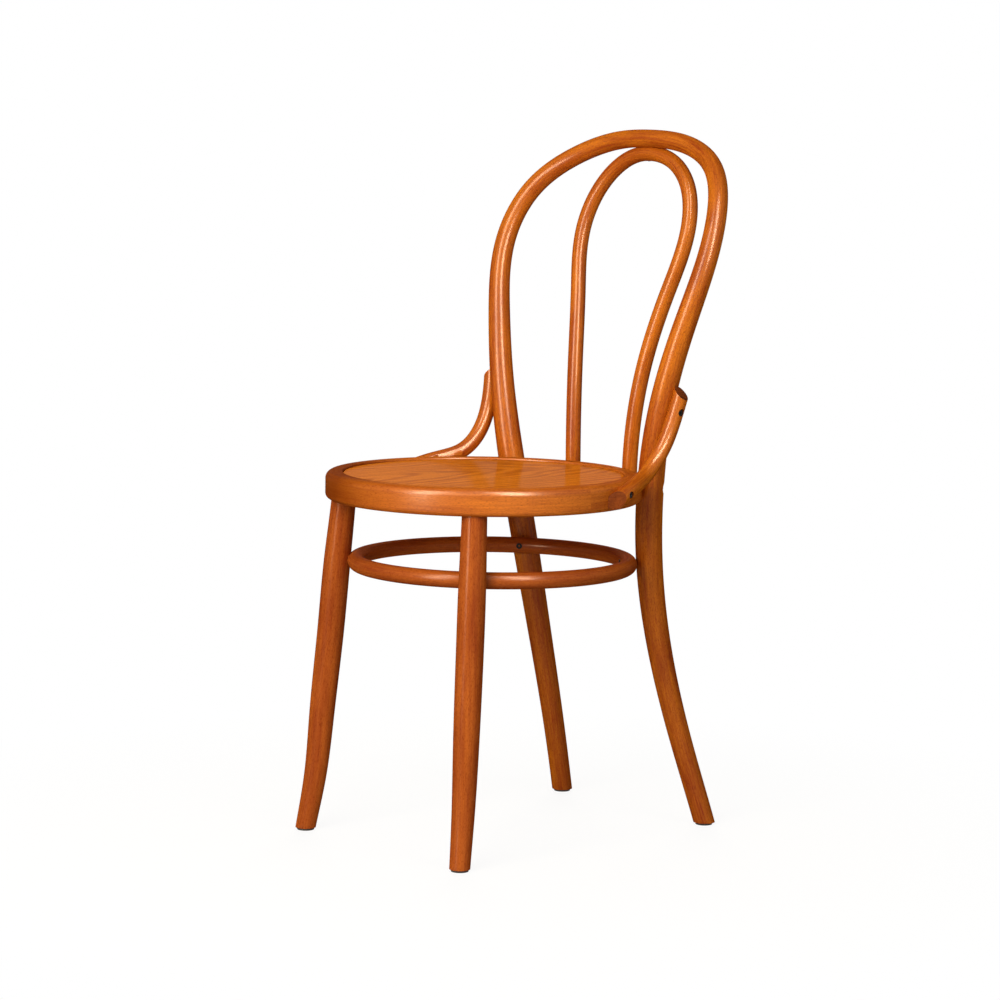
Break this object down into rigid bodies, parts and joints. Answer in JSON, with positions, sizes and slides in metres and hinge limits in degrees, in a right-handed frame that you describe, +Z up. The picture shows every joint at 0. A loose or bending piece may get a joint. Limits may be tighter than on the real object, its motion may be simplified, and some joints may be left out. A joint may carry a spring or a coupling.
{
  "type": "chair",
  "caption": "Bentwood dining chair: round framed seat, tall hoop back bent in one piece with the back legs, an inner loop, side braces and a leg ring.",
  "frame": {"origin": "on the floor, at the middle of the chair's footprint box", "axes": "+Z up along the chair's height; -Y towards the front edge of the seat; +X towards the sitter's left hand"},
  "size_m": [0.428, 0.4894, 0.8975],
  "materials": {
    "bent_wood": "satin varnish",
    "plywood": "satin varnish",
    "blackened_steel": "blackened, dull",
    "zinc_steel": "zinc plated",
    "glide_nylon": "matte"
  },
  "bodies": {
    "root": {"back_frame": "bent_wood", "inner_loop": "bent_wood", "seat_ring": "bent_wood", "front_leg_left": "bent_wood", "front_leg_right": "bent_wood", "leg_ring": "bent_wood", "brace_left": "bent_wood", "brace_right": "bent_wood", "seat_panel": "plywood", "leg_bolts": "blackened_steel", "brace_top_screws": "blackened_steel", "brace_low_screws": "blackened_steel", "leg_ring_screws": "blackened_steel", "loop_foot_screws": "blackened_steel", "loop_top_screw": "blackened_steel", "tenon_screws": "blackened_steel", "leg_bolt_washers": "zinc_steel", "leg_bolt_nuts": "zinc_steel", "glides": "glide_nylon", "glide_nails": "zinc_steel"}
  },
  "joints": []
}
